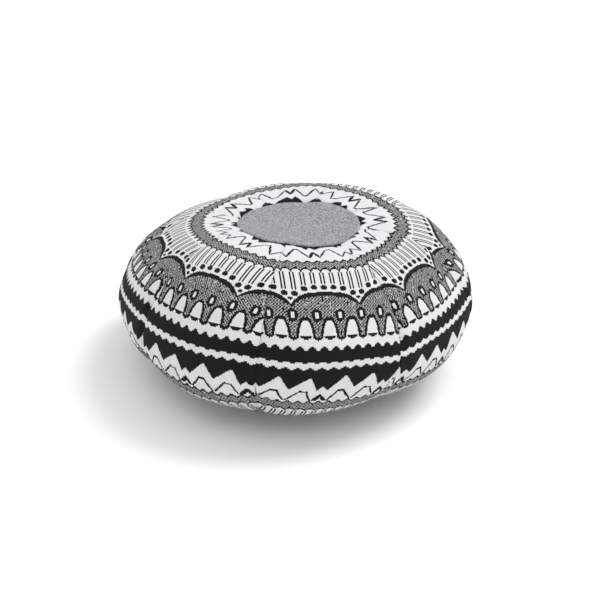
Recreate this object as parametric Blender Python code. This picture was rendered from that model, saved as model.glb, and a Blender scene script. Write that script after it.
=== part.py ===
"""A round knitted floor cushion: eight sewn gores and a top disc over a filled liner, zipped underneath.

Metres, +Z up. The origin is on the floor under the centre, a gore faces -Y, and the zip runs along X.
"""
import bpy
import bmesh
from math import acos, cos, pi, radians, sin, sqrt
from mathutils import Matrix, Vector

# Overall shape, settled under its own weight
cushion_diameter = 0.600
crown_rise = 0.133          # widest girth to the middle of the top
crown_flattening = 0.035    # how far the middle is pressed below a full ellipse
flattening_reach = 0.78     # share of the radius over which the crown is pressed flat
base_depth = 0.117          # widest girth to the floor
base_radius = 0.150         # flat patch on the floor, and the sewn base

# Cover
gore_count = 8
disc_radius = 0.1035
cover_thickness = 0.0030
seam_gap = 0.0003           # between panels that touch

# Liner
liner_thickness = 0.0010
liner_panel_radius = 0.185

# Zip under the base
zip_end_margin = 0.035      # base edge to the end of the teeth
tape_width = 0.0095
tape_thickness = 0.0008
tape_tail = 0.010           # tape beyond the end stops
teeth_depth = 0.0022        # from the tape edge towards the middle of the zip
teeth_thickness = 0.0018
teeth_spine = 0.0012
teeth_pitch = 0.0040
teeth_width = 0.0022
stop_length = 0.0030

# Slider and its pull tab
slider_length = 0.0110
slider_nose_width = 0.0060
wing_thickness = 0.0008
flange_width = 0.0008
flange_height = 0.0005
wedge_width = 0.0014
wedge_length = 0.0040
bridge_length = 0.0060
bridge_width = 0.0016
bridge_thickness = 0.0006
pull_length = 0.0240
pull_width = 0.0062
pull_thickness = 0.0008
eye_length = 0.0040
slot_clearance = 0.0027     # slider flange to the folded base edges
swing_clearance = 0.0003    # round every part of the zip that moves
floor_clearance = 0.0004

# Facets
gore_steps = 4
profile_steps = 10
round_steps = gore_steps * gore_count

looks = {
    "knit": ((0.40, 0.40, 0.39, 1), 0.92, 0.0),
    "disc": ((0.30, 0.31, 0.33, 1), 0.92, 0.0),
    "base": ((0.035, 0.035, 0.037, 1), 0.85, 0.0),
    "liner": ((0.80, 0.79, 0.76, 1), 0.90, 0.0),
    "filling": ((0.88, 0.88, 0.86, 1), 0.95, 0.0),
    "tape": ((0.030, 0.030, 0.032, 1), 0.80, 0.0),
    "teeth": ((0.045, 0.045, 0.047, 1), 0.45, 0.0),
    "metal": ((0.42, 0.42, 0.43, 1), 0.35, 1.0),
}

# Heights through the zip, from the floor up
bridge_bottom = floor_clearance
loop_bottom = bridge_bottom + bridge_thickness
loop_height = pull_thickness * sqrt(2) + 2 * swing_clearance
hinge_height = loop_bottom + loop_height / 2
wing_bottom = loop_bottom + loop_height
wing_top = wing_bottom + wing_thickness
teeth_bottom = wing_top + swing_clearance
teeth_top = teeth_bottom + teeth_thickness
tape_bottom = (teeth_bottom + teeth_top - tape_thickness) / 2
tape_top = tape_bottom + tape_thickness
inner_wing_bottom = teeth_top + swing_clearance
inner_wing_top = inner_wing_bottom + wing_thickness
base_thickness = tape_bottom - seam_gap

# Distances across the zip, from its middle line
teeth_inner = wedge_width / 2 + swing_clearance
teeth_outer = teeth_inner + teeth_depth
tape_inner = teeth_outer + seam_gap
tape_outer = tape_inner + tape_width
flange_inner = teeth_outer + swing_clearance
slider_half_width = flange_inner + flange_width
slot_half_width = slider_half_width + slot_clearance

# Distances along the zip
zip_length = 2 * (base_radius - zip_end_margin)
tape_length = zip_length + 2 * (stop_length + tape_tail)
slider_rest = zip_length / 2 - slider_length / 2 - swing_clearance

# Skins inside one another: distance in from the outside, and height of each one's own floor
liner_inset = cover_thickness + seam_gap
liner_floor = tape_top + seam_gap
filling_inset = liner_inset + liner_thickness + seam_gap
filling_floor = liner_floor + liner_thickness + seam_gap
tunnel_half_width = slider_half_width + 4 * swing_clearance
tunnel_bottom = inner_wing_top + 2 * swing_clearance
tunnel_half_length = tape_length / 2

radius = cushion_diameter / 2
crown_ellipse = crown_rise + crown_flattening
foot_ellipse = base_depth / sqrt(1 - (base_radius / radius) ** 2)


def skin_point(angle, inset, floor):
    """Distance from the axis and height of a skin, where angle runs from pi/2 at the crown to -pi/2."""
    share = cos(angle)
    if angle >= 0:
        pressed = max(0.0, 1 - (share / flattening_reach) ** 2) ** 2
        height = base_depth + (crown_ellipse - inset) * sin(angle) - crown_flattening * pressed
    else:
        height = max(floor, base_depth + (foot_ellipse - inset) * sin(angle))
    return (radius - inset) * share, height


def angle_at(distance, inset):
    """The crown angle at which a skin stands this far from the axis."""
    return acos(distance / (radius - inset))


def floor_angle(inset, floor):
    """The angle at which a skin comes down to its floor."""
    drop = (base_depth - floor) / (foot_ellipse - inset)
    return acos(sqrt(1 - drop * drop))


def stations(first, last):
    """Profile angles shared by every skin, so that facets stay parallel, from first down to last."""
    grid = [pi / 2 - pi * step / (2 * profile_steps) for step in range(2 * profile_steps + 1)]
    seams = [angle_at(disc_radius, 0), angle_at(liner_panel_radius, 0), -floor_angle(liner_inset, liner_floor)]
    margin = pi / (8 * profile_steps)
    even = [angle for angle in grid if all(abs(angle - seam) > margin for seam in seams)]
    inside = [angle for angle in even + seams if last + margin < angle < first - margin]
    return [first] + sorted(inside, reverse=True) + [last]


def profile(first, last, inset, floor):
    return [skin_point(angle, inset, floor) for angle in stations(first, last)]


def outline_edges(bm, outline, closed):
    """A chain of edges in the XZ plane."""
    verts = [bm.verts.new((distance, 0, height)) for distance, height in outline]
    pairs = list(zip(verts, verts[1:]))
    if closed:
        pairs.append((verts[-1], verts[0]))
    return verts + [bm.edges.new(pair) for pair in pairs]


def spun(outline, closed, start, sweep, steps):
    """Turn an outline about Z: a full turn closes on itself, and a part turn gets flat ends."""
    bm = bmesh.new()
    geometry = outline_edges(bm, outline, closed)
    bmesh.ops.rotate(bm, verts=list(bm.verts), cent=(0, 0, 0), matrix=Matrix.Rotation(start, 3, "Z"))
    bmesh.ops.spin(bm, geom=geometry, cent=(0, 0, 0), axis=(0, 0, 1), angle=sweep, steps=steps)
    bmesh.ops.remove_doubles(bm, verts=bm.verts, dist=1e-6)
    open_edges = [edge for edge in bm.edges if edge.is_boundary]
    if open_edges:
        bmesh.ops.holes_fill(bm, edges=open_edges, sides=0)
    bmesh.ops.recalc_face_normals(bm, faces=bm.faces)
    return bm


def prism(outline, low, high):
    """Raise a flat outline in XY from one height to another."""
    bm = bmesh.new()
    face = bm.faces.new([bm.verts.new((across, along, low)) for across, along in outline])
    raised = bmesh.ops.extrude_face_region(bm, geom=[face])["geom"]
    lifted = [item for item in raised if isinstance(item, bmesh.types.BMVert)]
    bmesh.ops.translate(bm, verts=lifted, vec=(0, 0, high - low))
    bmesh.ops.recalc_face_normals(bm, faces=bm.faces)
    return bm


def block(low, high):
    """A box between two corners."""
    bm = bmesh.new()
    size = Vector(high) - Vector(low)
    middle = (Vector(high) + Vector(low)) / 2
    bmesh.ops.create_cube(bm, size=1, matrix=Matrix.Translation(middle) @ Matrix.Diagonal((*size, 1)))
    return bm


def place(bm, name, look, parent=None, smooth=True):
    """Make the object, with a material of its own."""
    mesh = bpy.data.meshes.new(name)
    bm.to_mesh(mesh)
    bm.free()
    if smooth:
        mesh.shade_smooth()
        mesh.set_sharp_from_angle(angle=radians(35))
    colour, roughness, metallic = looks[look]
    material = bpy.data.materials.new(name)
    material.use_nodes = True
    shader = material.node_tree.nodes["Principled BSDF"]
    shader.inputs["Base Color"].default_value = colour
    shader.inputs["Roughness"].default_value = roughness
    shader.inputs["Metallic"].default_value = metallic
    mesh.materials.append(material)
    piece = bpy.data.objects.new(name, mesh)
    bpy.context.collection.objects.link(piece)
    piece.parent = parent
    return piece


def combine(piece, bm, operation):
    """Join another solid to a piece, or cut it away."""
    tool = place(bm, f"{piece.name}_tool_{len(piece.modifiers)}", "metal", piece.parent, smooth=False)
    tool.hide_render = True
    tool.display_type = "WIRE"
    change = piece.modifiers.new(operation.lower(), "BOOLEAN")
    change.operation = operation
    change.object = tool


def shell(first, last, outer, inner):
    """Closed outline between an outer and an inner skin."""
    return profile(first, last, *outer) + list(reversed(profile(first, last, *inner)))


def straight_ended(outline, half, top_distance, base_distance):
    """Stand the ends of a shell outline upright, so that neighbours meet edge to edge."""
    ends = {0: top_distance, -1: top_distance, half - 1: base_distance, half: base_distance}
    for place_in_outline, distance in ends.items():
        if distance is not None:
            outline[place_in_outline] = (distance, outline[place_in_outline][1])
    return outline


def gore_outline():
    """Section through a gore, from the disc's edge down to the base."""
    first = angle_at(disc_radius + seam_gap / 2, 0)
    last = -floor_angle(0, 0)
    outline = shell(first, last, (0, 0), (cover_thickness, cover_thickness))
    return straight_ended(outline, len(outline) // 2, disc_radius + seam_gap / 2, base_radius + seam_gap / 2)


def make_cover():
    turn = 2 * pi / gore_count
    parting = seam_gap / disc_radius
    for number in range(gore_count):
        start = -pi / 2 - turn / 2 + number * turn + parting / 2
        place(spun(gore_outline(), True, start, turn - parting, gore_steps), f"cover_gore_{number + 1}", "knit")
    edge = disc_radius - seam_gap / 2
    upper = profile(pi / 2, angle_at(edge, 0), 0, 0)
    lower = profile(pi / 2, angle_at(edge, 0), cover_thickness, 0)
    lower[-1] = (edge, lower[-1][1])
    place(spun(upper + list(reversed(lower)), False, 0, 2 * pi, round_steps), "top_disc", "disc")


def make_base():
    """Two halves of the round base, either side of the zip."""
    edge = base_radius - seam_gap / 2
    section = [(0, 0), (edge, 0), (edge, base_thickness), (0, base_thickness)]
    for name, side in (("base_panel_front", -1), ("base_panel_back", 1)):
        bm = spun(section, False, 0, 2 * pi, round_steps)
        everything = list(bm.verts) + list(bm.edges) + list(bm.faces)
        cut = (0, side * slot_half_width, 0)
        bmesh.ops.bisect_plane(bm, geom=everything, plane_co=cut, plane_no=(0, side, 0), clear_inner=True)
        bmesh.ops.holes_fill(bm, edges=[edge for edge in bm.edges if edge.is_boundary], sides=0)
        bmesh.ops.recalc_face_normals(bm, faces=bm.faces)
        place(bm, name, "base")


def make_liner():
    outer = (liner_inset, liner_floor)
    inner = (liner_inset + liner_thickness, liner_floor + liner_thickness)
    edge = liner_panel_radius
    upper = profile(pi / 2, angle_at(edge - seam_gap / 2, liner_inset), *outer)
    lower = profile(pi / 2, angle_at(edge - seam_gap / 2, liner_inset), *inner)
    lower[-1] = (edge - seam_gap / 2, lower[-1][1])
    place(spun(upper + list(reversed(lower)), False, 0, 2 * pi, round_steps), "liner_top", "liner")

    last = -floor_angle(*outer)
    base_edge = skin_point(last, *outer)[0]
    wall = shell(angle_at(edge + seam_gap / 2, liner_inset), last, outer, inner)
    wall = straight_ended(wall, len(wall) // 2, edge + seam_gap / 2, base_edge)
    place(spun(wall, True, 0, 2 * pi, round_steps), "liner_side", "liner")

    edge = base_edge - seam_gap
    flat = [(0, liner_floor), (edge, liner_floor), (edge, inner[1]), (0, inner[1])]
    base = place(spun(flat, False, 0, 2 * pi, round_steps), "liner_base", "liner")
    hood = (tunnel_half_length + liner_thickness, tunnel_half_width + liner_thickness)
    combine(base, block((-hood[0], -hood[1], liner_floor), (*hood, tunnel_bottom + liner_thickness)), "UNION")
    hollow = (tunnel_half_length, tunnel_half_width)
    combine(base, block((-hollow[0], -hollow[1], 0), (*hollow, tunnel_bottom)), "DIFFERENCE")


def make_filling():
    """The bead and fibre mass, with a groove over the liner's zip tunnel."""
    last = -floor_angle(filling_inset, filling_floor)
    outline = profile(pi / 2, last, filling_inset, filling_floor) + [(0, filling_floor)]
    filling = place(spun(outline, False, 0, 2 * pi, round_steps), "filling", "filling")
    side = liner_thickness + seam_gap
    corner = (tunnel_half_length + side, tunnel_half_width + side)
    combine(filling, block((-corner[0], -corner[1], 0), (*corner, tunnel_bottom + side)), "DIFFERENCE")


def comb_outline(side, shift):
    """A spine along the tape with teeth that reach towards the middle."""
    count = int((zip_length - teeth_pitch) / teeth_pitch)
    spine = teeth_outer - teeth_spine
    start = -count * teeth_pitch / 2 + shift
    points = [(-zip_length / 2, side * teeth_outer), (-zip_length / 2, side * spine)]
    for number in range(count):
        left = start + number * teeth_pitch
        right = left + teeth_width
        points += [(left, side * spine), (left, side * teeth_inner)]
        points += [(right, side * teeth_inner), (right, side * spine)]
    return points + [(zip_length / 2, side * spine), (zip_length / 2, side * teeth_outer)]


def make_zip():
    for name, side, shift in (("front", -1, 0), ("back", 1, teeth_pitch / 2)):
        ends = sorted((side * tape_inner, side * tape_outer))
        tape = block((-tape_length / 2, ends[0], tape_bottom), (tape_length / 2, ends[1], tape_top))
        place(tape, f"zip_tape_{name}", "tape", smooth=False)
        teeth = prism(comb_outline(side, shift), teeth_bottom, teeth_top)
        place(teeth, f"zip_teeth_{name}", "teeth", smooth=False)
        ends = sorted((side * teeth_inner, side * teeth_outer))
        start = zip_length / 2 + seam_gap
        stop = block((start, ends[0], teeth_bottom), (start + stop_length, ends[1], teeth_top))
        place(stop, f"zip_end_stop_{name}", "metal", smooth=False)
    start = -zip_length / 2 - seam_gap
    stop = block((start - stop_length, -teeth_outer, teeth_bottom), (start, teeth_outer, teeth_top))
    place(stop, "zip_start_stop", "metal", smooth=False)


def axle(name, location, parent=None):
    empty = bpy.data.objects.new(name, None)
    empty.location = location
    empty.parent = parent
    bpy.context.collection.objects.link(empty)
    return empty


def make_slider():
    """Two wings round the teeth on a wedge, with a bridge under the lower wing for the pull tab."""
    carriage = axle("slider_carriage", (slider_rest, 0, 0))
    half = slider_length / 2
    nose = slider_nose_width / 2
    wide = slider_half_width
    wing = [(-half, -nose), (0, -wide), (half, -wide), (half, wide), (0, wide), (-half, nose)]
    slider = place(prism(wing, wing_bottom, wing_top), "zip_slider", "metal", carriage, smooth=False)
    combine(slider, prism(wing, inner_wing_bottom, inner_wing_top), "UNION")
    sunk = wing_thickness / 2
    for side in (-1, 1):
        near, far = sorted((side * flange_inner, side * wide))
        lower = ((0, near, wing_top - sunk), (half, far, wing_top + flange_height))
        upper = ((0, near, inner_wing_bottom - flange_height), (half, far, inner_wing_bottom + sunk))
        combine(slider, block(*lower), "UNION")
        combine(slider, block(*upper), "UNION")
    wedge = ((half - wedge_length, -wedge_width / 2, wing_top - sunk),
             (half, wedge_width / 2, inner_wing_bottom + sunk))
    combine(slider, block(*wedge), "UNION")
    reach = bridge_length / 2
    for end in (-1, 1):
        near, far = sorted((end * reach, end * (reach - bridge_thickness)))
        leg = ((near, -bridge_width / 2, bridge_bottom), (far, bridge_width / 2, wing_bottom + sunk))
        combine(slider, block(*leg), "UNION")
    bar = ((-reach, -bridge_width / 2, bridge_bottom), (reach, bridge_width / 2, loop_bottom))
    combine(slider, block(*bar), "UNION")
    return carriage


def make_pull(carriage):
    """A flat tab whose end bar turns inside the bridge."""
    hinge = axle("pull_hinge", (0, 0, hinge_height), carriage)
    half = pull_width / 2
    bar = pull_thickness / 2
    tip = pull_length - half
    steps = 8
    turns = [pi / 2 + pi * step / steps for step in range(steps + 1)]
    outline = [(bar, -half), (bar, half)]
    outline += [(-tip + half * cos(turn), half * sin(turn)) for turn in turns]
    pull = place(prism(outline, -bar, bar), "zip_pull_tab", "metal", hinge, smooth=False)
    window = bridge_width / 2 + 2 * swing_clearance
    combine(pull, block((-eye_length, -window, -pull_thickness), (-bar, window, pull_thickness)), "DIFFERENCE")


def main():
    for thing in list(bpy.data.objects):
        bpy.data.objects.remove(thing, do_unlink=True)
    make_cover()
    make_base()
    make_liner()
    make_filling()
    make_zip()
    make_pull(make_slider())


main()
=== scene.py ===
import math
import bmesh
import bpy
import numpy as np
from mathutils import Matrix, Vector


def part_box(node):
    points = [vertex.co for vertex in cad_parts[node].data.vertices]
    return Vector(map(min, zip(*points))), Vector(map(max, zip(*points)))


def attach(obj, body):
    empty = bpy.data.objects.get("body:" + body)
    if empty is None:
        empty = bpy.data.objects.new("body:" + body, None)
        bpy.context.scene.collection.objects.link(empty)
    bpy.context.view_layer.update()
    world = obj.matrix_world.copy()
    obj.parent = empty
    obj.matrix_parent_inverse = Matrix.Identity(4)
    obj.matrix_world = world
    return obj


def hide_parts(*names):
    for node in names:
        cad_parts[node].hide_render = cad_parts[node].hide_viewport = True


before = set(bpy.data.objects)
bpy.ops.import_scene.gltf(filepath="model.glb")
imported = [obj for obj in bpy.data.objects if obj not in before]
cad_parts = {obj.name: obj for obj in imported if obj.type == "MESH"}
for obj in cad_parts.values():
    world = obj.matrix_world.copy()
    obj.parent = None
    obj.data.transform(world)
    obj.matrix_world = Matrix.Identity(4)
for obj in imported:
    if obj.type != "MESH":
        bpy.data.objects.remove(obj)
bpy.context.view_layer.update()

print("frame loaded:", len(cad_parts), "nodes")

# Cushion body

body = {
    "crownFlattening": 0.043,   # how far the middle of the top is pressed in
    "flattenedReach": 0.782,    # share of the radius that is pressed
    "crownEllipse": 0.173,      # height of the unpressed crown above the girth
    "girthHeight": 0.117,
    "footRadius": 0.150,
    "heading": -103.5,          # the side seen first, degrees round from +X
    "sideTilt": 0.0089,
    "twoLobeTilt": (0.0286, -0.0488),
    "twoLobeRound": (0.017, 0.0102),
    "threeLobeRound": (0.0306, -0.0188),
    "lean": 0.0113,
    "leanLevel": 0.245,         # lean and tilt are full at this height
    "lumpHeight": 0.0012,
    "floorGap": 0.0004,
    "goreCount": 8,
}

topLow, topHigh = (Vector(corner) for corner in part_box("top_disc"))
goreLow = Vector(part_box("cover_gore_1")[0])
bodyRadius = -goreLow.y
discRadius = (topHigh.x - topLow.x) / 2
footEllipse = body["girthHeight"] / math.sqrt(1 - (body["footRadius"] / bodyRadius) ** 2)
heading = math.radians(body["heading"])


def nominalProfile(angle):  # angle runs from a right angle at the crown to minus one at the floor
    share = np.cos(angle)
    pressed = np.clip(1 - (share / body["flattenedReach"]) ** 2, 0, None) ** 2
    upper = body["girthHeight"] + body["crownEllipse"] * np.sin(angle) - body["crownFlattening"] * pressed
    lower = np.clip(body["girthHeight"] + footEllipse * np.sin(angle), 0, None)
    return bodyRadius * share, np.where(angle >= 0, upper, lower)


profileAngles = np.linspace(math.pi / 2, -math.pi / 2, 4001)
profileRadii, profileHeights = nominalProfile(profileAngles)
steps = np.hypot(np.diff(profileRadii), np.diff(profileHeights))
profileLengths = np.concatenate([[0], np.cumsum(steps)])
wholeLength = profileLengths[-1]
lowerHalf = profileAngles < 0
footLength = np.interp(-body["footRadius"], -profileRadii[lowerHalf], profileLengths[lowerHalf])


def radiusAt(length):
    return np.interp(length, profileLengths, profileRadii)


def settledPoint(turn, length, inset=0.0):  # a point of the slumped cushion, before the stuffing swells it
    middle = body["girthHeight"]
    radius = radiusAt(length) * (1 - inset / bodyRadius)
    height = np.interp(length, profileLengths, profileHeights)
    height = middle + (height - middle) * (1 - inset / middle)
    side = turn - heading
    share = height / body["leanLevel"]
    twoTilt, twoRound, threeRound = body["twoLobeTilt"], body["twoLobeRound"], body["threeLobeRound"]
    tilt = body["sideTilt"] * np.sin(side)
    tilt = tilt + twoTilt[0] * np.cos(2 * side) + twoTilt[1] * np.sin(2 * side)
    spread = twoRound[0] * np.cos(2 * side) + twoRound[1] * np.sin(2 * side)
    spread = spread + threeRound[0] * np.cos(3 * side) + threeRound[1] * np.sin(3 * side)
    height = height + tilt * share * radius
    radius = radius * (1 + spread)
    shift = body["lean"] * share
    x = radius * np.cos(turn) - shift * math.sin(heading)
    y = radius * np.sin(turn) + shift * math.cos(heading)
    return np.stack([x, y, height], axis=-1)


seams = {
    "topDrift": (0, 2, 2, -8, -9, -7, -14, -1),  # degrees that each seam has slipped near the top
    "driftEnds": (0.15, 0.27),  # full slip above the first length and none below the second
    "sideBow": (0, 0.020, 0, 0, 0, 0, 0, 0),     # radians that each seam bows near the girth
    "bowLevel": 0.27,
    "bowReach": 0.03,
    "footStart": 0.31,          # from here down a bowed seam turns the other way
    "footReach": 0.08,
    "footTurn": 4.5,
}


def seamTurn(number, length):  # number 0 is the seam before the gore that faces -Y
    count = body["goreCount"]
    pitch = 2 * math.pi / count
    high, low = seams["driftEnds"]
    slip = np.clip((low - length) / (low - high), 0, 1)
    slip = slip * slip * (3 - 2 * slip) * math.radians(seams["topDrift"][number % count])
    foot = np.clip((length - seams["footStart"]) / seams["footReach"], 0, 1)
    bow = np.exp(-((length - seams["bowLevel"]) / seams["bowReach"]) ** 2) - seams["footTurn"] * foot ** 1.5
    slip = slip + seams["sideBow"][number % count] * bow
    return -math.pi / 2 + (number - 0.5) * pitch + slip


# A flat grid of quads is bent into each sheet: bend(across, along) takes both from 0 to 1
def bentSheet(name, columns, rows, bend):
    bm = bmesh.new()
    bmesh.ops.create_grid(bm, x_segments=columns, y_segments=rows, size=0.5)
    flat = np.array([vert.co for vert in bm.verts]) + 0.5
    points, flatMap = bend(flat[:, 0], flat[:, 1])
    uvLayer = bm.loops.layers.uv.new("OFBake")
    for vert, point in zip(bm.verts, points):
        vert.co = point
    for face in bm.faces:
        for loop in face.loops:
            loop[uvLayer].uv = flatMap[loop.vert.index]
    bmesh.ops.remove_doubles(bm, verts=bm.verts, dist=2e-6)
    bmesh.ops.dissolve_degenerate(bm, edges=bm.edges, dist=1e-6)
    bm.normal_update()
    middle = Vector((0, 0, body["girthHeight"]))
    facing = sum(face.normal.dot(face.calc_center_median() - middle) * face.calc_area() for face in bm.faces)
    if facing <= 0:
        bmesh.ops.reverse_faces(bm, faces=bm.faces)
    mesh = bpy.data.meshes.new(name)
    bm.to_mesh(mesh)
    bm.free()
    mesh.shade_smooth()
    piece = bpy.data.objects.new(name, mesh)
    bpy.context.collection.objects.link(piece)
    return piece


def thicken(piece, thickness):  # inward from the bent sheet
    wall = piece.modifiers.new("wall", "SOLIDIFY")
    wall.thickness = thickness
    wall.offset = -1


# Stuffing pushes the cover out

stuffing = {
    "columns": 144,
    "rows": 64,
    "inset": 0.004,
    "heldBelow": 0.004,    # what lies on the floor stays there
    "seamLevel": 0.3,      # the seams are followed straight down from where they are at this length
    "pressure": 3.0,
    "seamShrink": 0.025,   # seams are sewn tighter than the knit between them
    "mass": 0.25,
    "stretchStiffness": 18,
    "shearStiffness": 8,
    "bendStiffness": 1.2,
    "quality": 6,
    "frames": 20,
    "wideWaves": 5,        # swelling in fewer waves round than this is left out
    "mostMove": 0.0030,
    "topFade": (0.14, 0.12),   # no swelling above this length, and all of it this much lower
    "footFade": 0.03,
}


def stuffedField():
    columns, rows = stuffing["columns"], stuffing["rows"]
    field = np.zeros((rows + 1, columns, 3))

    def bend(across, along):
        points = settledPoint(across * 2 * math.pi, along * wholeLength, inset=stuffing["inset"])
        return points, np.stack([across, along], axis=-1)

    cage = bentSheet("stuffingCage", columns, rows, bend)
    points = np.array([vert.co for vert in cage.data.vertices])
    places = np.zeros((len(points), 2))
    for loop, uv in zip(cage.data.loops, cage.data.uv_layers[0].uv):
        places[loop.vertex_index] = uv.vector
    column = np.round(places[:, 0] * columns).astype(int) % columns
    row = np.round(places[:, 1] * rows).astype(int)
    seamTurns = [float(seamTurn(number, stuffing["seamLevel"])) for number in range(body["goreCount"])]
    seamColumns = [round(turn / (2 * math.pi) * columns) % columns for turn in seamTurns]
    held = cage.vertex_groups.new(name="held")
    tight = cage.vertex_groups.new(name="tight")
    for index in range(len(points)):
        if points[index, 2] < stuffing["heldBelow"] or row[index] == 0:
            held.add([index], 1.0, "REPLACE")
        if column[index] in seamColumns:
            tight.add([index], 1.0, "REPLACE")
    cloth = cage.modifiers.new("cloth", "CLOTH")
    settings = cloth.settings
    settings.quality = stuffing["quality"]
    settings.mass = stuffing["mass"]
    settings.tension_stiffness = stuffing["stretchStiffness"]
    settings.compression_stiffness = stuffing["stretchStiffness"]
    settings.shear_stiffness = stuffing["shearStiffness"]
    settings.bending_stiffness = stuffing["bendStiffness"]
    settings.use_pressure = True
    settings.uniform_pressure_force = stuffing["pressure"]
    settings.vertex_group_mass = "held"
    settings.vertex_group_shrink = "tight"
    settings.shrink_min = 0.0
    settings.shrink_max = stuffing["seamShrink"]
    settings.effector_weights.gravity = 0
    scene = bpy.context.scene
    for frameNumber in range(1, stuffing["frames"] + 1):
        scene.frame_set(frameNumber)
    evaluated = cage.evaluated_get(bpy.context.evaluated_depsgraph_get())
    moved = np.array([vert.co for vert in evaluated.data.vertices]) - points
    for index in range(len(points)):
        if row[index] not in (0, rows):
            field[row[index], column[index]] = moved[index]
    scene.frame_set(1)
    bpy.data.objects.remove(cage, do_unlink=True)

    # Only the swelling between seams is kept: the settled outline already has the wide changes
    turns = np.arange(columns) / columns * 2 * math.pi
    outward = np.stack([np.cos(turns), np.sin(turns)], axis=-1)
    radial = (field[..., :2] * outward).sum(axis=-1)
    rise = field[..., 2].copy()
    for part in (radial, rise):
        waves = np.fft.rfft(part, axis=1)
        waves[:, :stuffing["wideWaves"]] = 0
        part[:] = np.fft.irfft(waves, n=columns, axis=1)
    size = np.hypot(radial, rise)
    most, mean = (round(float(amount) * 1000, 1) for amount in (size.max(), size.mean()))
    print("  swelling", most, "mm at most,", mean, "mm mean")
    limit = np.minimum(1, stuffing["mostMove"] / np.maximum(size, 1e-9))
    field[..., :2] = (radial * limit)[..., None] * outward
    field[..., 2] = rise * limit
    lengths = np.arange(rows + 1) / rows * wholeLength
    start, reach = stuffing["topFade"]
    fade = np.clip((lengths - start) / reach, 0, 1)
    fade *= np.clip((footLength - lengths) / stuffing["footFade"], 0, 1)
    return field * fade[:, None, None]


print("stuffing the cover")
field = stuffedField()


def splineWeights(share):  # of the four samples round a place, for a smooth curve through all of them
    square, cube = share ** 2, share ** 3
    return (-0.5 * cube + square - 0.5 * share, 1.5 * cube - 2.5 * square + 1,
            -1.5 * cube + 2 * square + 0.5 * share, 0.5 * cube - 0.5 * square)


def fieldAt(turn, length):
    columns, rows = stuffing["columns"], stuffing["rows"]
    across = (turn / (2 * math.pi) * columns) % columns
    along = np.clip(length / wholeLength * rows, 0, rows - 1e-6)
    column, row = np.floor(across).astype(int), np.floor(along).astype(int)
    total = np.zeros(turn.shape + (3,))
    for stepDown, weightDown in zip(range(-1, 3), splineWeights(along - row)):
        for stepAcross, weightAcross in zip(range(-1, 3), splineWeights(across - column)):
            value = field[np.clip(row + stepDown, 0, rows), (column + stepAcross) % columns]
            total += (weightDown * weightAcross)[..., None] * value
    return total


def surfacePoint(turn, length, inset=0.0):
    point = settledPoint(turn, length, inset) + fieldAt(turn, length)
    point[..., 2] = np.maximum(point[..., 2], body["floorGap"] + inset)
    return point


def liftedPoint(turn, length, lift, inset=0.0):  # lift stands out from the surface
    nudge = 0.0015
    nudgeTurn = nudge / 0.2
    point = surfacePoint(turn, length, inset)
    acrossStep = surfacePoint(turn + nudgeTurn, length, inset) - surfacePoint(turn - nudgeTurn, length, inset)
    alongStep = surfacePoint(turn, length + nudge, inset) - surfacePoint(turn, length - nudge, inset)
    normal = np.cross(alongStep, acrossStep)
    normal /= np.maximum(np.linalg.norm(normal, axis=-1, keepdims=True), 1e-12)
    return point + normal * lift[..., None]


def lumps(turn, length):  # the filling shows through a little
    wave = np.sin(3 * turn + 21 * length) + np.sin(5 * turn - 33 * length + 1.3)
    wave = wave + np.sin(9 * turn + 47 * length + 2.1)
    return body["lumpHeight"] * wave / 1.7


# The knitted chart: x runs across a gore from its middle and depth runs down from the crown

chart = {
    "repeat": 0.0997,          # width of one scallop
    "peakRepeat": 0.0945,      # width of one pair of peaks
    "pairsPerRepeat": 7,
    "archesPerRepeat": 3,
    "teethPerRepeat": 6,
    "downRepeat": 0.2445,      # the chart starts again this far down
    "repeatMargin": 0.0015,    # and this much early, which leaves white above the band
    "crownMargin": 0.0085,     # the crown's motif may reach this far below the top of the band
    "bandTop": (0.1565, 0.0068, 0.0042),   # level of the upper points, tooth height and line
    "bandBase": (0.1775, 0.0095, 0.0044),
    "lobePower": 2.2,
    "lineStart": 0.1890,
    "lineOffset": 0.00237,
    "lineHalf": 0.0012,
    "scallopUpper": (0.2284, 0.0220, 3.3),
    "scallopLower": (0.2356, 0.0190, 2.5),
    "dotLift": 0.0090,
    "dotSize": (0.0047, 0.0050),
    "lineToDot": 0.0062,       # the paired lines end this far above the middle of a dot
    "cuspDot": (0.2412, 0.0036, 0.0026),
    "ringLevel": 0.2680,
    "ringSize": (0.0069, 0.0095),
    "ringHole": (0.0026, 0.0044),
    "archBase": 0.2987,
    "archHem": 0.002,
    "stemBase": (0.0074, 0.0067),
    "lens": (0.0098, 0.0058),
    "wideTeeth": (0.3128, 0.0075),
    "thinStripe": (0.3350, 0.0040, 0.0085),
    "blackEnd": 0.3565,
    "threadHalf": 0.0016,
    "crownHook": (-0.0087, 0.0074, 0.0028),   # where the crown's thread is thick, and its half width there
    "threadStart": 0.10,                      # share of a pair of peaks
    "threadHook": (0.88, 1.003, 0.0036, 0.0030),   # two shares from which it is thick, and its half widths
}
archLevels = (0.2705, 0.2718, 0.2740, 0.2752, 0.2765, 0.2780, 0.2840, 0.2900, 0.2987)
archWhites = (-1.0, -1.0, -1.0, 0.0, 0.0025, 0.0039, 0.0070, 0.0085, 0.0093)
archOuters = (0.0, 0.0035, 0.0062, 0.0070, 0.0077, 0.0083, 0.0110, 0.0126, 0.0133)
peakOutline = ((0.0, 0.3735), (0.08, 0.3800), (0.30, 0.3590), (0.335, 0.3590), (0.50, 0.3785),
               (0.75, 0.3612), (0.80, 0.3608), (0.92, 0.3805), (1.0, 0.3735))
threadOutline = ((0.10, 0.4015), (0.25, 0.3815), (0.34, 0.3808), (0.485, 0.4010), (0.67, 0.3815),
                 (0.78, 0.3822), (0.88, 0.4020), (1.003, 0.3895), (1.10, 0.4015))
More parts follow.
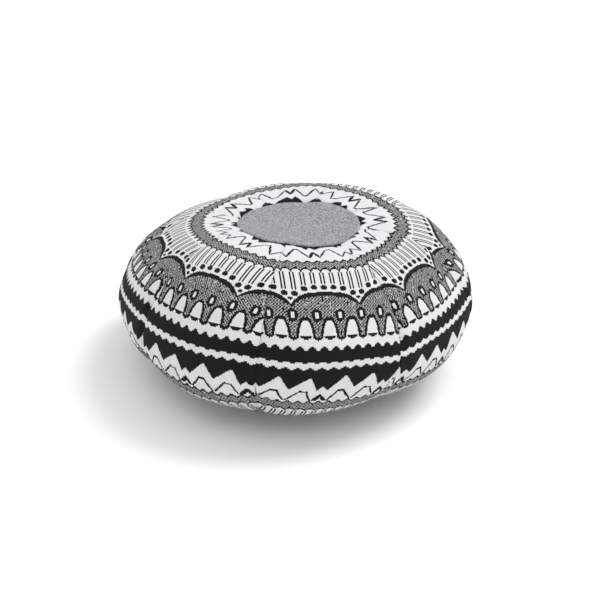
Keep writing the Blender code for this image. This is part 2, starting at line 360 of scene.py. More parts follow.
crownPeaks = ((-0.085, 0.1125), (-0.066, 0.0940), (-0.047, 0.1125), (-0.020, 0.0920), (-0.0063, 0.1130),
              (0.0, 0.1035), (0.0063, 0.1130), (0.0276, 0.0960), (0.047, 0.1100), (0.066, 0.0940),
              (0.085, 0.1125))
crownThread = ((-0.078, 0.1160), (-0.062, 0.1450), (-0.048, 0.1280), (-0.0426, 0.1450), (-0.0256, 0.1165),
               (-0.0202, 0.1145), (-0.0086, 0.1440), (0.0, 0.1265), (0.0074, 0.1435), (0.0211, 0.1185),
               (0.0290, 0.1155), (0.0446, 0.1450), (0.0550, 0.1300), (0.0660, 0.1450), (0.0800, 0.1160))


def toothWave(share):  # 0 at whole numbers and 1 half way
    return np.abs(2 * (share - np.floor(share + 0.5)))


def outlineAt(outline, place, scale=1.0):  # level and slope of a line through given points
    places = np.array([point for point, level in outline])
    levels = np.array([level for point, level in outline])
    reach = 0.001 / scale
    slope = (np.interp(place + reach, places, levels) - np.interp(place - reach, places, levels)) / 0.002
    return np.interp(place, places, levels), slope


def nearLine(depth, level, slope, half):
    return np.abs(depth - level) / np.sqrt(1 + slope ** 2) < half


def crownMotif(x, depth):
    level = outlineAt(crownPeaks, x)[0]
    thread, slope = outlineAt(crownThread, x)
    first, last, thick = chart["crownHook"]
    half = np.where((x > first) & (x < last), thick, chart["threadHalf"])
    return (depth < level) | nearLine(depth, thread, slope, half)


def peaksAndThread(x, depth):
    repeat = chart["peakRepeat"]
    level = outlineAt(peakOutline, x / repeat % 1)[0]
    place = (x / repeat - chart["threadStart"]) % 1 + chart["threadStart"]
    thread, slope = outlineAt(threadOutline, place, repeat)
    first, second, thick, thinner = chart["threadHook"]
    half = np.where(place > first, np.where(place > second, thinner, thick), chart["threadHalf"])
    return (depth < level) | nearLine(depth, thread, slope, half)


def greyBand(x, depth):
    pairs = x / chart["repeat"] * chart["pairsPerRepeat"]
    level, tooth, line = chart["bandTop"]
    upper = level + tooth * toothWave(pairs)
    lobeLevel, lobe, lobeLine = chart["bandBase"]
    lower = lobeLevel + lobe * (1 - toothWave(pairs)) ** chart["lobePower"]
    black = (depth > upper - line / 2) & (depth < upper + line / 2)
    black |= (depth > lower - lobeLine * 0.4) & (depth < lower + lobeLine * 0.6)
    return black, (depth > upper) & (depth < lower) & ~black


def scallop(x):
    share = toothWave(x / chart["repeat"])
    level, drop, power = chart["scallopUpper"]
    baseLevel, baseDrop, basePower = chart["scallopLower"]
    return level + drop * share ** power, baseLevel + baseDrop * share ** basePower


def pairsAndDots(x, depth):
    pitch = chart["repeat"] / chart["pairsPerRepeat"]
    centre = np.round(x / pitch) * pitch
    dotLevel = scallop(centre)[0] - chart["dotLift"]
    black = ((x - centre) / chart["dotSize"][0]) ** 2 + ((depth - dotLevel) / chart["dotSize"][1]) ** 2 < 1
    onLine = np.abs(np.abs(x - centre) - chart["lineOffset"]) < chart["lineHalf"]
    black |= onLine & (depth > chart["lineStart"]) & (depth < dotLevel - chart["lineToDot"])
    cusp = (np.floor(x / chart["repeat"]) + 0.5) * chart["repeat"]
    level, wide, high = chart["cuspDot"]
    return black | (((x - cusp) / wide) ** 2 + ((depth - level) / high) ** 2 < 1)


def archesAndRings(x, depth):
    pitch = chart["repeat"] / chart["archesPerRepeat"]
    fromArch = np.abs(x - np.round(x / pitch) * pitch)
    fromRing = pitch / 2 - fromArch
    ring = [(fromRing / size[0]) ** 3 + (np.abs(depth - chart["ringLevel"]) / size[1]) ** 3 < 1
            for size in (chart["ringSize"], chart["ringHole"])]
    arch = fromArch < np.interp(depth, archLevels, archWhites)
    outline = (depth > archLevels[0]) & (fromArch < np.interp(depth, archLevels, archOuters))
    white = arch | ring[1]
    return white, (outline | ring[0]) & ~white, fromArch, fromRing


def knitChart(x, depth):  # two masks: white stitches, and grey ones where the two yarns alternate
    bandLevel, tooth = chart["bandTop"][:2]
    again = depth > bandLevel + chart["downRepeat"] - chart["repeatMargin"]
    lowered = np.where(again, depth - chart["downRepeat"], depth)
    crown = depth < bandLevel + chart["crownMargin"]
    upper, lower = scallop(x)
    bandBlack, grey = greyBand(x, lowered)
    bandTop = bandLevel + tooth * toothWave(x / chart["repeat"] * chart["pairsPerRepeat"])
    white = np.ones(x.shape, bool)
    white &= ~(crown & (depth < bandTop) & crownMotif(x, depth))
    white &= ~((lowered > chart["lineStart"] - 0.001) & (lowered < upper) & pairsAndDots(x, lowered))

    archWhite, archBlack, fromArch, fromRing = archesAndRings(x, lowered)
    teeth = toothWave(x / chart["repeat"] * chart["teethPerRepeat"])
    stem, lens = chart["stemBase"], chart["lens"]
    stemEnd = chart["archBase"] + stem[1] * np.sqrt(np.clip(1 - (fromRing / stem[0]) ** 2, 0, 1))
    lensEnd = chart["archBase"] + lens[1] * np.clip(1 - (fromArch / lens[0]) ** 2, 0, 1)
    base = np.maximum(stemEnd, lensEnd)
    inFrieze = (lowered > upper) & (lowered < base)
    hem = chart["archBase"] + chart["archHem"]
    grey |= inFrieze & (lowered > lower) & (lowered < hem) & ~archWhite & ~archBlack
    white = np.where(inFrieze, archWhite & (lowered < chart["archBase"]) & (lowered > lower), white)

    wideEnd = chart["wideTeeth"][0] + chart["wideTeeth"][1] * (1 - teeth)
    level, drop, thick = chart["thinStripe"]
    stripe = level + drop * (1 - teeth)
    dark = (lowered > wideEnd) & (lowered < chart["blackEnd"])
    white = np.where(dark, (lowered > stripe) & (lowered < stripe + thick), white)
    white &= ~((lowered >= chart["blackEnd"]) & peaksAndThread(x, lowered))
    white &= ~bandBlack
    return white & ~grey, grey


# Gores

gore = {
    "legColumns": 236,         # each stitch has a left and a right leg
    "rows": 260,
    "stitchWidth": chart["repeat"] / 42,
    "vee": 0.45,               # how far the legs of a stitch slant, as a share of its height
    "tuckUnderDisc": 0.016,
    "discSeat": (0.0028, 0.001, 0.008),   # how deep the disc's seat is, its margin and its slope
    "seamGap": 0.00015,
    "creaseDepth": 0.0010,     # narrow fold right at a seam
    "creaseReach": 0.0017,
    "valleyDepth": 0.0008,     # wider hollow either side of it
    "valleyReach": 0.0090,
    "puckerHeight": 0.0008,
    "puckerPitch": 0.017,
    "puckerReach": 0.014,
    "crownHeight": 0.0020,     # each gore is fullest along its middle
    "fullness": (0.12, 0.16, 0.12),       # flat to this length, full this much lower, least share
    "footFade": 0.03,
    "wall": 0.0024,
    "recessShadedWhite": 0.53,         # how light the white yarn shows where the two alternate, darkened as painted shade of its sunken stitches
    "mottle": (0.75, 0.5),
    "twill": (3, 5, 12),       # steps across and down, and the length of its repeat
    "speckle": 0.05,           # share of stray stitches in it, of either yarn
}
# Where the knit of each gore lies: shift at the crown, at the frieze and at the foot, stretch, drop
knitPlacing = (
    (-0.0075, -0.0125, -0.0115, 1.030, 0.000),
    (0.0140, -0.0084, -0.0030, 1.045, -0.004),
    (-0.0040, 0.0010, 0.0040, 1.060, 0.001),
    (-0.0100, -0.0075, -0.0060, 1.030, -0.002),
    (0.0010, 0.0035, 0.0050, 1.070, 0.002),
    (0.0110, 0.0055, 0.0020, 1.040, -0.001),
    (-0.0110, -0.0150, -0.0040, 1.080, 0.001),
    (-0.0045, 0.0015, 0.0060, 1.050, 0.002),
)
placingLevels = (0.13, 0.28, 0.38)


def seamPucker(seam, length):
    wave = 2 * math.pi * length / gore["puckerPitch"] + 1.7 * seam
    return np.sin(wave + 1.1 * np.sin(length * 61 + seam)) * (0.65 + 0.35 * np.sin(length * 37 + 2 * seam))


# Some stretches of the rows hang lower or are pulled up
sags = {
    "places": ((35, 8, 0.0060), (-14, 8, -0.0040), (75, 12, -0.0030)),   # side, reach in degrees, droop
    "start": 0.24,
    "startReach": 0.06,
    "endReach": 0.05,
}


def sagAt(turn, length, end):
    side = np.degrees(turn - heading)
    side = (side + 180) % 360 - 180
    total = sum(droop * np.exp(-((side - place) / reach) ** 2) for place, reach, droop in sags["places"])
    total = total * np.clip((length - sags["start"]) / sags["startReach"], 0, 1)
    return total * np.clip((end - length) / sags["endReach"], 0, 1)


def sewGore(number, material):
    columns, rows = gore["legColumns"], gore["rows"]
    start, end = discRadius - gore["tuckUnderDisc"], float(footLength)
    *shifts, stretch, drop = knitPlacing[number]
    count, leg, rowHeight = body["goreCount"], gore["stitchWidth"] / 2, (end - start) / rows

    def bend(across, along):
        column = np.round(across * columns)
        length = start + along * (end - start)
        slant = np.where((column - columns / 2) % 2 == 0, 0.5, -0.5) * gore["vee"] * rowHeight
        length = length + slant * ((along > 0.001) & (along < 0.999))
        radius = radiusAt(length)
        left, right = seamTurn(number, length), seamTurn(number + 1, length)
        middle = (left + right) / 2
        halfWidth = radius * (right - left) / 2 - gore["seamGap"]
        shift = np.interp(length, placingLevels, shifts)
        x = (column - columns / 2) * leg * stretch + shift
        cut = np.abs(x) >= halfWidth - 0.3 * leg
        x = np.where(cut, np.sign(x) * halfWidth, x)
        fromSeam = halfWidth - np.abs(x)
        seam = np.where(x < 0, number, number + 1) % count
        turn = middle + x / radius
        flatEnd, reach, least = gore["fullness"]
        fullness = np.clip((length - flatEnd) / reach, least, 1)
        lift = gore["crownHeight"] * (0.5 - (x / halfWidth) ** 2)
        lift -= gore["creaseDepth"] * np.exp(-(fromSeam / gore["creaseReach"]) ** 1.5)
        lift -= gore["valleyDepth"] * np.exp(-fromSeam / gore["valleyReach"])
        lift += gore["puckerHeight"] * np.exp(-fromSeam / gore["puckerReach"]) * seamPucker(seam, length)
        lift = lift * fullness + lumps(turn, length)
        depth, margin, slope = gore["discSeat"]
        lift -= depth * np.clip((discRadius + margin - length) / slope, 0, 1)
        fade = np.clip((end - length) / gore["footFade"], 0, 1)
        points = liftedPoint(turn, length + sagAt(turn, length, end), lift * fade)
        return points, np.stack([across, along], axis=-1)

    piece = bentSheet(f"coverGore{number + 1}", columns, rows, bend)
    mesh = piece.data
    corners = np.zeros(len(mesh.loops) * 2)
    mesh.uv_layers[0].uv.foreach_get("vector", corners)
    starts = np.zeros(len(mesh.polygons), int)
    totals = np.zeros(len(mesh.polygons), int)
    mesh.polygons.foreach_get("loop_start", starts)
    mesh.polygons.foreach_get("loop_total", totals)
    centres = np.add.reduceat(corners.reshape(-1, 2), starts, axis=0) / totals[:, None]
    column = np.floor(centres[:, 0] * columns) - columns // 2
    row = np.floor(centres[:, 1] * rows)
    stitch = np.floor((column + 1) / 2)
    white, grey = knitChart((column + 0.5) * leg, start + (row + 0.5) * rowHeight - drop)
    dice = np.random.default_rng(number)
    shades = dice.random((columns + 2, rows))[(stitch + columns // 2).astype(int), row.astype(int)]
    least, spread = gore["mottle"]
    # painted shade: where the two yarns alternate, the white yarn is darkened as if shaded by the black
    # stitches round it; the random part is real mottle
    mottledAndShaded = gore["recessShadedWhite"] * (least + spread * shades)
    lean = 1 if number < count / 2 else -1
    across, down, repeat = gore["twill"]
    twill = (across * lean * column + down * row) % repeat < repeat / 2
    stray = gore["speckle"]
    twill = np.where(shades > 1 - stray, True, np.where(shades < stray, False, twill))
    yarn = np.where(white, 1.0, np.where(grey & twill, mottledAndShaded, 0.0))
    mesh.attributes.new("yarn", "FLOAT", "FACE").data.foreach_set("value", yarn.astype(np.float32))
    print("  gore", number + 1, "faces", len(mesh.polygons))
    thicken(piece, gore["wall"])
    mesh.materials.append(material)
    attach(piece, "cushion")
    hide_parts(f"cover_gore_{number + 1}")


# Materials

def newGroup(name, inputs, outputs):
    tree = bpy.data.node_groups.new(name, "ShaderNodeTree")
    for label, kind, value in inputs:
        socket = tree.interface.new_socket(name=label, in_out="INPUT", socket_type=kind)
        if value is not None:
            socket.default_value = value
    for label, kind in outputs:
        tree.interface.new_socket(name=label, in_out="OUTPUT", socket_type=kind)
    return tree, tree.nodes.new("NodeGroupInput"), tree.nodes.new("NodeGroupOutput")


def sums(tree, operation, first, second=None, third=None, clamp=False):
    node = tree.nodes.new("ShaderNodeMath")
    node.operation = operation
    node.use_clamp = clamp
    for slot, value in enumerate((first, second, third)):
        if value is None:
            continue
        if isinstance(value, (int, float)):
            node.inputs[slot].default_value = value
        else:
            tree.links.new(value, node.inputs[slot])
    return node.outputs[0]


def noiseOf(tree, vector, scale, detail=3.0):
    node = tree.nodes.new("ShaderNodeTexNoise")
    node.inputs["Scale"].default_value = scale
    node.inputs["Detail"].default_value = detail
    tree.links.new(vector, node.inputs["Vector"])
    return node.outputs["Fac"]


def mixOf(tree, amount, first, second, kind="MIX"):
    node = tree.nodes.new("ShaderNodeMix")
    node.data_type = "RGBA"
    node.blend_type = kind
    for slot, value in (("Factor", amount), ("A", first), ("B", second)):
        socket = [item for item in node.inputs if item.name == slot and item.enabled][0]
        if isinstance(value, (int, float)):
            socket.default_value = value
        elif isinstance(value, tuple):
            socket.default_value = (*value, 1)
        else:
            tree.links.new(value, socket)
    return [item for item in node.outputs if item.enabled][0]


def shadedColour(tree, colour, tone):
    grey = tree.nodes.new("ShaderNodeCombineColor")
    for channel in ("Red", "Green", "Blue"):
        tree.links.new(tone, grey.inputs[channel])
    return mixOf(tree, 1.0, colour, grey.outputs[0], "MULTIPLY")


def makeKnitGroup():  # rounded yarn legs, from a vector that counts legs and rows, with a mask of painted shade between the legs
    tree, given, result = newGroup(
        "knitLegs",
        [("Stitches", "NodeSocketVector", None), ("Fuzz", "NodeSocketFloat", 0.35)],
        [("Height", "NodeSocketFloat"), ("ShadeBetweenLegs", "NodeSocketFloat"), ("Fibre", "NodeSocketFloat")])
    split = tree.nodes.new("ShaderNodeSeparateXYZ")
    tree.links.new(given.outputs["Stitches"], split.inputs[0])
    across = sums(tree, "MULTIPLY", sums(tree, "FRACT", split.outputs["X"]), math.pi)
    along = sums(tree, "MULTIPLY", sums(tree, "FRACT", split.outputs["Y"]), math.pi)
    legRound = sums(tree, "POWER", sums(tree, "MAXIMUM", sums(tree, "SINE", across), 0.0), 0.6)
    rowRound = sums(tree, "POWER", sums(tree, "MAXIMUM", sums(tree, "SINE", along), 0.0), 0.35)
    height = sums(tree, "MULTIPLY", legRound, rowRound)
    fibre = noiseOf(tree, given.outputs["Stitches"], 2.6, 4.0)
    fuzzy = sums(tree, "MULTIPLY", sums(tree, "SUBTRACT", fibre, 0.5), given.outputs["Fuzz"])
    tree.links.new(sums(tree, "ADD", height, fuzzy), result.inputs["Height"])
    # the second output is a mask for painted shade between the rounded legs
    tree.links.new(sums(tree, "SUBTRACT", 1.0, height, clamp=True), result.inputs["ShadeBetweenLegs"])
    tree.links.new(fibre, result.inputs["Fibre"])
    return tree


def makeWeaveGroup():  # plain over and under weave, from a vector in threads
    tree, given, result = newGroup(
        "plainWeave",
        [("Threads", "NodeSocketVector", None)],
        [("Height", "NodeSocketFloat")])
    split = tree.nodes.new("ShaderNodeSeparateXYZ")
    tree.links.new(given.outputs["Threads"], split.inputs[0])
    warp = sums(tree, "SINE", sums(tree, "MULTIPLY", split.outputs["X"], math.pi))
    weft = sums(tree, "SINE", sums(tree, "MULTIPLY", split.outputs["Y"], math.pi))
    over = sums(tree, "MULTIPLY", warp, weft)
    tree.links.new(sums(tree, "MULTIPLY_ADD", over, 0.5, 0.5), result.inputs["Height"])
    return tree


def newMaterial(name, roughness, metallic=0.0, sheen=0.0):
    material = bpy.data.materials.new(name)
    material.use_nodes = True
    shader = material.node_tree.nodes["Principled BSDF"]
    shader.inputs["Roughness"].default_value = roughness
    shader.inputs["Metallic"].default_value = metallic
    shader.inputs["Sheen Weight"].default_value = sheen
    shader.inputs["Specular IOR Level"].default_value = 0.25 if metallic == 0 else 0.5
    return material, material.node_tree, shader


def attributeOf(tree, name, kind):
    node = tree.nodes.new("ShaderNodeAttribute")
    node.attribute_name = name
    return node.outputs[kind]


def bumpInto(tree, shader, height, distance):
    node = tree.nodes.new("ShaderNodeBump")
    node.inputs["Strength"].default_value = 1.0
    node.inputs["Distance"].default_value = distance
    tree.links.new(height, node.inputs["Height"])
    tree.links.new(node.outputs["Normal"], shader.inputs["Normal"])


def placedGroup(tree, group, **values):
    node = tree.nodes.new("ShaderNodeGroup")
    node.node_tree = group
    for label, value in values.items():
        if isinstance(value, (int, float)):
            node.inputs[label].default_value = value
        else:
            tree.links.new(value, node.inputs[label])
    return node


def scaledMap(tree, scale):
    uv = tree.nodes.new("ShaderNodeUVMap")
    uv.uv_map = "OFBake"
    node = tree.nodes.new("ShaderNodeVectorMath")
    node.operation = "MULTIPLY"
    tree.links.new(uv.outputs["UV"], node.inputs[0])
    node.inputs[1].default_value = scale
    return node.outputs[0]


coverYarn = {
    "white": (0.835, 0.84, 0.852),
    "black": (0.006, 0.006, 0.0068),
    "creviceShade": 0.26,
    "patchScale": 0.09,
    "patchTone": (0.16, 0.92),    # spread and least of the slow change of tone
    "fibreTone": (0.24, 0.88),
    "fuzz": 0.30,
    "relief": 0.0006,
    "roughness": 0.95,
}


def makeCoverKnit(knit):
    material, tree, shader = newMaterial("coverKnit", coverYarn["roughness"])
    stitches = scaledMap(tree, (gore["legColumns"], gore["rows"], 1))
    legs = placedGroup(tree, knit, Stitches=stitches, Fuzz=coverYarn["fuzz"])
    yarn = attributeOf(tree, "yarn", "Fac")
    colour = mixOf(tree, yarn, coverYarn["black"], coverYarn["white"])
    patchy = noiseOf(tree, stitches, coverYarn["patchScale"], 2.0)
    tone = sums(tree, "MULTIPLY_ADD", patchy, *coverYarn["patchTone"])
    fibre = sums(tree, "MULTIPLY_ADD", legs.outputs["Fibre"], *coverYarn["fibreTone"])
    tone = sums(tree, "MULTIPLY", tone, fibre)
    # painted shade: the cover's colour is darkened between the yarn legs
    shade = sums(tree, "MULTIPLY_ADD", legs.outputs["ShadeBetweenLegs"], -coverYarn["creviceShade"], 1.0)
    tone = sums(tree, "MULTIPLY", tone, shade)
    tree.links.new(shadedColour(tree, colour, tone), shader.inputs["Base Color"])
    bumpInto(tree, shader, legs.outputs["Height"], coverYarn["relief"])
    return material


discYarn = {
    "light": (0.66, 0.674, 0.70),
    "dark": (0.060, 0.064, 0.070),
    "creviceShade": 0.20,
    "legs": 248,
    "turns": 0.44,      # weights of the regular change, of chance and of slow drift
    "chance": 0.5,
    "heather": 0.5,
    "relief": 0.0005,
}


def makeDiscKnit(knit):  # light and dark stitches take turns, each a little different
    material, tree, shader = newMaterial("discKnit", 0.95, sheen=0.03)
    stitches = scaledMap(tree, (discYarn["legs"], discYarn["legs"] / 2, 1))
    legs = placedGroup(tree, knit, Stitches=stitches, Fuzz=0.3)
    half = tree.nodes.new("ShaderNodeVectorMath")
    half.operation = "MULTIPLY"
    half.inputs[1].default_value = (0.5, 1, 0)
    tree.links.new(stitches, half.inputs[0])
    cell = tree.nodes.new("ShaderNodeVectorMath")
    cell.operation = "FLOOR"
    tree.links.new(half.outputs[0], cell.inputs[0])
    chance = tree.nodes.new("ShaderNodeTexWhiteNoise")
    tree.links.new(cell.outputs[0], chance.inputs["Vector"])
    checker = tree.nodes.new("ShaderNodeTexChecker")
    checker.inputs["Scale"].default_value = 1.0
    tree.links.new(half.outputs[0], checker.inputs["Vector"])
    strand = sums(tree, "MULTIPLY", checker.outputs["Fac"], discYarn["turns"])
    strand = sums(tree, "MULTIPLY_ADD", chance.outputs["Value"], discYarn["chance"], strand)
    heather = sums(tree, "SUBTRACT", noiseOf(tree, stitches, 0.35, 3.0), 0.5)
    strand = sums(tree, "MULTIPLY_ADD", heather, discYarn["heather"], strand, clamp=True)
    colour = mixOf(tree, strand, discYarn["dark"], discYarn["light"])
    # painted shade: the disc's colour is darkened between the yarn legs
    shade = sums(tree, "MULTIPLY_ADD", legs.outputs["ShadeBetweenLegs"], -discYarn["creviceShade"], 1.0)
    tree.links.new(shadedColour(tree, colour, shade), shader.inputs["Base Color"])
    bumpInto(tree, shader, legs.outputs["Height"], discYarn["relief"])
    return material


def makeClothFinish(weave, name, light, dark, threadSize, relief=0.0003):
    material, tree, shader = newMaterial(name, 0.86, sheen=0.1)
    place = tree.nodes.new("ShaderNodeTexCoord").outputs["Object"]
    scale = tree.nodes.new("ShaderNodeVectorMath")
    scale.operation = "SCALE"
    scale.inputs["Scale"].default_value = 1 / threadSize
    tree.links.new(place, scale.inputs[0])
    cloth = placedGroup(tree, weave, Threads=scale.outputs[0])
    slub = noiseOf(tree, place, 180, 3.0)
    uneven = sums(tree, "MULTIPLY_ADD", slub, 0.8, 0.5)
    # painted shade: the cloth is darker where its weave lies low
    amount = sums(tree, "MULTIPLY", cloth.outputs["Height"], uneven, clamp=True)
    tree.links.new(mixOf(tree, amount, dark, light), shader.inputs["Base Color"])
    bumpInto(tree, shader, cloth.outputs["Height"], relief)
    return material


def makeFillingFinish():
    material, tree, shader = newMaterial("beadFilling", 0.7)
    place = tree.nodes.new("ShaderNodeTexCoord").outputs["Object"]
    cells = tree.nodes.new("ShaderNodeTexVoronoi")
    cells.inputs["Scale"].default_value = 260
    tree.links.new(place, cells.inputs["Vector"])
    # painted shade: the colour darkens between the beads, where the bump is lowest
    gapShade = sums(tree, "MULTIPLY", cells.outputs["Distance"], 1.6, clamp=True)
    colour = mixOf(tree, gapShade, (0.92, 0.92, 0.91), (0.55, 0.55, 0.55))
    tree.links.new(colour, shader.inputs["Base Color"])
    bumpInto(tree, shader, sums(tree, "SUBTRACT", 1.0, cells.outputs["Distance"]), 0.002)
    return material


def makeZipFinish(name, light, dark, roughness, metallic):
    material, tree, shader = newMaterial(name, roughness, metallic)
    place = tree.nodes.new("ShaderNodeTexCoord").outputs["Object"]
    grain = noiseOf(tree, place, 900, 3.0)
    tree.links.new(mixOf(tree, grain, dark, light), shader.inputs["Base Color"])
    tree.links.new(sums(tree, "MULTIPLY_ADD", grain, 0.25, roughness - 0.1), shader.inputs["Roughness"])
    bumpInto(tree, shader, grain, 0.00004)
    return material


print("mixing yarns and finishes")
knitGroup, weaveGroup = makeKnitGroup(), makeWeaveGroup()
coverKnit, discKnit = makeCoverKnit(knitGroup), makeDiscKnit(knitGroup)
# painted shade: the black cloths' colour where their weave lies low
shadedBlackThread = (0.012, 0.012, 0.013)
baseCloth = makeClothFinish(weaveGroup, "baseCloth", (0.055, 0.055, 0.058), shadedBlackThread, 0.0006)
linerCloth = makeClothFinish(weaveGroup, "linerCloth", (0.84, 0.82, 0.78), (0.55, 0.53, 0.49), 0.0005)
tapeCloth = makeClothFinish(weaveGroup, "zipTapeCloth", (0.05, 0.05, 0.052), shadedBlackThread, 0.0004, 0.0001)
beadFilling = makeFillingFinish()
zipPlastic = makeZipFinish("zipPlastic", (0.055, 0.055, 0.058), (0.03, 0.03, 0.032), 0.42, 0.0)
zipMetal = makeZipFinish("zipMetal", (0.52, 0.52, 0.53), (0.34, 0.34, 0.35), 0.32, 1.0)

print("knitting the gores")
for number in range(body["goreCount"]):
    sewGore(number, coverKnit)

# Top disc

disc = {
    "columns": 192,
    "rows": 60,
    "lift": 0.0016,
    "edgeRoll": 0.0026,
    "rollWidth": 0.0022,
    "wall": 0.0022,
    "edgeWave": 0.0006,
    "inset": 0.0050,
    "ovalEdge": 0.0045,
    "ovalTurn": 3.4,
    "mapMargin": 2.1,     # the flat map is this many radii wide
}


def sewDisc():
    def bend(across, along):
        turn = across * 2 * math.pi
        reach = discRadius - disc["inset"] + disc["edgeWave"] * np.sin(32 * turn) * np.cos(5 * turn)
        reach = reach + disc["ovalEdge"] * np.cos(2 * (turn - heading) - disc["ovalTurn"])
        length = along * reach
        fromEdge = reach - length
        lift = disc["lift"] + lumps(turn, length) * along
        lift = lift - disc["edgeRoll"] * np.exp(-(fromEdge / disc["rollWidth"]) ** 1.4)
        flat = np.stack([length * np.cos(turn), length * np.sin(turn)], axis=-1)
        return liftedPoint(turn, length, lift), flat / (disc["mapMargin"] * discRadius) + 0.5

    piece = bentSheet("topDisc", disc["columns"], disc["rows"], bend)
    thicken(piece, disc["wall"])
    piece.data.materials.append(discKnit)
    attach(piece, "cushion")
    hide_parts("top_disc")


print("sewing on the top disc")
sewDisc()

# Inner bag, filling and base

liner = {
    "inset": 0.0088,        # below the cover's surface, clear of its seams
    "wall": 0.0010,
    "panelGap": 0.0004,
    "crease": 0.0007,
    "middleFade": 0.05,     # no lumps or creases at the very middle
    "floor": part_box("liner_base")[0][2],
    "overZip": 0.0,
    "topGrid": (144, 60),
    "sideGrid": (216, 110),
    "baseGrid": (216, 60),
}
filling = {
    "inset": 0.0112,
    "wall": 0.0,
    "crease": 0.0006,
    "middleFade": 0.05,
    "floor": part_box("filling")[0][2],
    "overZip": 0.0014,      # more room over the zip than the liner leaves
    "grid": (180, 150),
}
zipRoom = {
    "halfLength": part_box("zip_tape_front")[1][0] + 0.001,
    "halfWidth": 0.0058,
    "ceiling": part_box("zip_slider")[1][2] + 0.0006,
    "slope": 0.0070,
}


def hoodOverZip(points, floor, extra):  # lifts a flat bottom over the zip with soft sides
    beyondEnd = np.abs(points[:, 0]) - zipRoom["halfLength"] - extra
    beyondSide = np.abs(points[:, 1]) - zipRoom["halfWidth"] - extra
    away = np.hypot(np.clip(beyondEnd, 0, None), np.clip(beyondSide, 0, None)) / zipRoom["slope"]
    share = np.clip(1 - away, 0, 1)
    share = share * share * (3 - 2 * share)
    low = floor + (zipRoom["ceiling"] + extra - floor) * share
    points[:, 2] = np.maximum(points[:, 2], low)
    return points


def creases(turn, length):
    wave = np.sin(41 * turn + 30 * length) * np.sin(13 * turn - 55 * length)
    return wave + 0.5 * np.sin(90 * length + 7 * turn)


def sewLining(name, bag, grid, first, last, material):
    def bend(across, along):
        turn, length = across * 2 * math.pi, first + along * (last - first)
        lift = lumps(turn, length) + bag["crease"] * creases(turn, length)
        lift = lift * np.clip(length / bag["middleFade"], 0, 1)
        points = liftedPoint(turn, length, lift, bag["inset"])
        points = hoodOverZip(points, bag["floor"], bag["overZip"])
        return points, np.stack([across, along], axis=-1)

    piece = bentSheet(name, *grid, bend)
    if bag["wall"]:
        thicken(piece, bag["wall"])
    piece.data.materials.append(material)
    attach(piece, "cushion")
    return piece


def makeInside():
    topEdge = -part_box("liner_top")[1][0]
    panelEnd = float(np.interp(topEdge, -profileRadii[~lowerHalf], profileLengths[~lowerHalf]))
    gap = liner["panelGap"]
    panels = (("linerTop", "liner_top", "topGrid", 0.0, panelEnd),
              ("linerSide", "liner_side", "sideGrid", panelEnd + gap, footLength),
              ("linerBase", "liner_base", "baseGrid", footLength + gap, wholeLength))
    for name, node, grid, first, last in panels:
        piece = sewLining(name, liner, liner[grid], first, last, linerCloth)
        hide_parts(node)
    piece = sewLining("beadFilling", filling, filling["grid"], 0.0, wholeLength, beadFilling)
    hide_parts("filling")


print("lining and filling")
makeInside()

# Base panels and zip

basePanel = {
    "underRim": 0.0004,
    "thickness": 0.0026,
    "hemHeight": 0.0036,     # the edge beside the zip is folded and stitched
    "hemWidth": 0.0090,
    "rimHeight": 0.0034,
    "rimWidth": 0.0070,
    "foldSlope": 0.0012,
    "zipStitches": 0.0065,   # lines of stitches, from the zip and from the rim
    "rimStitches": 0.0048,
    "stitchWidth": 0.0005,
    "stitchDepth": 0.0005,
    "stitchFold": 0.0007,
    "dimple": 0.0004,
    "rimGap": 0.0006,
    "slotGap": 0.0002,
    "grid": (150, 76),
}


def stitchLine(distance, place):
    return -((distance - place) / basePanel["stitchWidth"]) ** 2


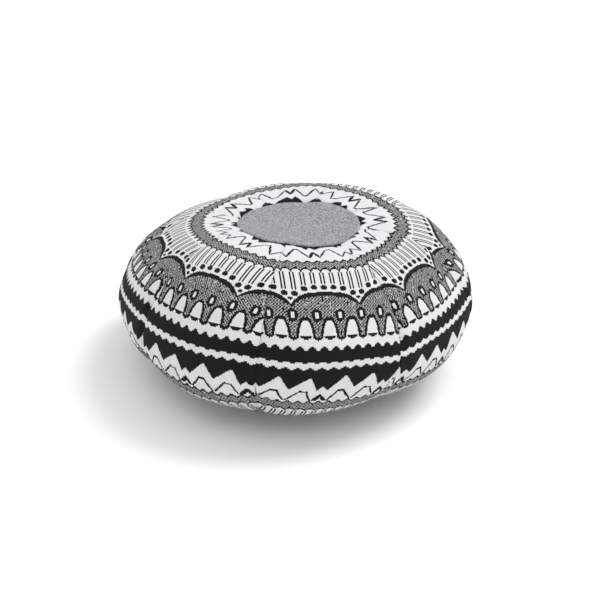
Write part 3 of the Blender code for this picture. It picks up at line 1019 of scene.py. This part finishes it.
def sewBasePanel(name, node, side):
    low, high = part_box(node)
    radius = high[0] - basePanel["rimGap"]
    slot = (low[1] if side > 0 else -high[1]) + basePanel["slotGap"]
    zipLine, rimLine = basePanel["zipStitches"], basePanel["rimStitches"]

    def bend(across, along):
        reach = radius * np.sin((across - 0.5) * math.pi)
        far = np.sqrt(np.clip(radius ** 2 - reach ** 2, 0, None))
        far = np.maximum(far, slot + basePanel["rimGap"])
        depth = slot + (far - slot) * (0.5 - 0.5 * np.cos(along * math.pi))
        fromZip, fromRim = depth - slot, radius - np.hypot(reach, depth)
        dimple = basePanel["dimple"] * np.sin(61 * reach + 40 * depth) * np.sin(47 * depth - 33 * reach)
        height = basePanel["thickness"] + dimple
        hem = np.clip((basePanel["hemWidth"] - fromZip) / basePanel["foldSlope"], 0, 1)
        rim = np.clip((basePanel["rimWidth"] - fromRim) / basePanel["foldSlope"], 0, 1)
        height = height + hem * (basePanel["hemHeight"] - height)
        height = height + rim * (basePanel["rimHeight"] - height) * (1 - hem)
        grooves = np.exp(stitchLine(fromZip, zipLine)) + np.exp(stitchLine(fromRim, rimLine))
        points = np.stack([reach, side * depth, height - basePanel["stitchDepth"] * grooves], axis=-1)
        return points, np.stack([across, along], axis=-1)

    piece = bentSheet(name, *basePanel["grid"], bend)
    bm = bmesh.new()
    bm.from_mesh(piece.data)
    if sum(face.normal.z for face in bm.faces) < 0:
        bmesh.ops.reverse_faces(bm, faces=bm.faces)
    underside = list(bm.verts)
    bmesh.ops.extrude_face_region(bm, geom=list(bm.faces))
    for vert in underside:
        fold = basePanel["stitchFold"] * math.exp(stitchLine(abs(vert.co.y) - slot, zipLine))
        fold += basePanel["stitchFold"] * math.exp(stitchLine(radius - vert.co.xy.length, rimLine))
        vert.co.z = basePanel["underRim"] + fold
    bmesh.ops.recalc_face_normals(bm, faces=bm.faces)
    sortAlong = Vector((1, 3.7, 11.3))   # extrude leaves the edge's faces in a different order each run
    bm.faces.sort(key=lambda face: sum(vert.co.dot(sortAlong) for vert in face.verts))
    bm.to_mesh(piece.data)
    bm.free()
    piece.data.shade_smooth()
    piece.data.set_sharp_from_angle(angle=math.radians(50))
    piece.data.materials.append(baseCloth)
    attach(piece, "cushion")
    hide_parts(node)


print("sewing the base")
sewBasePanel("basePanelFront", "base_panel_front", -1)
sewBasePanel("basePanelBack", "base_panel_back", 1)

print("finishing the zip")
zipFinishes = {"zip_tape": tapeCloth, "zip_teeth": zipPlastic, "zip_end": zipMetal,
               "zip_start": zipMetal, "zip_slider": zipMetal, "zip_pull": zipMetal}
for name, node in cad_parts.items():
    for start, finish in zipFinishes.items():
        if name.startswith(start):
            node.data.materials.clear()
            node.data.materials.append(finish)

# Studio

studio = {
    "floorSize": 12.0,
    "floorTone": 0.93,
    "worldStrength": 1.0,
    "keyFrom": (1.7, 0.9, 2.7),   # to the side, behind and above, seen from the camera
    "keySpread": 32,              # degrees
    "keyStrength": 1.6,
    "cameraDistance": 2.3,
    "cameraElevation": 24.92,
    "cameraAimSide": 0.0192,
    "cameraAimHeight": 0.1134,
    "cameraRoll": 1.45,
    "sensorWidth": 36,            # mm, as is the lens
    "lens": 82.5,
}


def makeStudio():
    scene = bpy.context.scene
    floorMesh = bpy.data.meshes.new("studioFloor")
    bm = bmesh.new()
    bmesh.ops.create_grid(bm, x_segments=1, y_segments=1, size=studio["floorSize"] / 2)
    bm.to_mesh(floorMesh)
    bm.free()
    floor = bpy.data.objects.new("studioFloor", floorMesh)
    scene.collection.objects.link(floor)
    material, _, shader = newMaterial("studioFloor", 0.9)
    tone = studio["floorTone"]
    shader.inputs["Base Color"].default_value = (tone, tone, tone, 1)
    shader.inputs["Specular IOR Level"].default_value = 0.0
    floorMesh.materials.append(material)

    world = bpy.data.worlds.new("studioWorld")
    world.use_nodes = True
    sky = world.node_tree.nodes["Background"]
    sky.inputs["Color"].default_value = (1, 1, 1, 1)
    sky.inputs["Strength"].default_value = studio["worldStrength"]
    scene.world = world

    def turned(side, ahead):
        return Vector((-math.sin(heading) * side - math.cos(heading) * ahead,
                       math.cos(heading) * side - math.sin(heading) * ahead, 0))

    light = bpy.data.lights.new("overheadKey", "SUN")
    light.angle = math.radians(studio["keySpread"])
    light.energy = studio["keyStrength"]
    lamp = bpy.data.objects.new("overheadKey", light)
    side, behind, up = studio["keyFrom"]
    lamp.location = turned(side, behind) + Vector((0, 0, up))
    lamp.rotation_euler = (-lamp.location).to_track_quat("-Z", "Y").to_euler()
    scene.collection.objects.link(lamp)

    camera = bpy.data.cameras.new("studioCamera")
    camera.sensor_width = studio["sensorWidth"]
    camera.lens = studio["lens"]
    eye = bpy.data.objects.new("studioCamera", camera)
    elevation = math.radians(studio["cameraElevation"])
    aim = turned(studio["cameraAimSide"], 0) + Vector((0, 0, studio["cameraAimHeight"]))
    level = math.cos(elevation)
    back = Vector((math.cos(heading) * level, math.sin(heading) * level, math.sin(elevation)))
    eye.location = aim + back * studio["cameraDistance"]
    look = (-back).to_track_quat("-Z", "Y").to_matrix().to_4x4()
    eye.rotation_euler = (look @ Matrix.Rotation(math.radians(studio["cameraRoll"]), 4, "Z")).to_euler()
    scene.collection.objects.link(eye)
    scene.camera = eye
    scene.view_settings.view_transform = "Standard"


print("lighting the studio")
makeStudio()
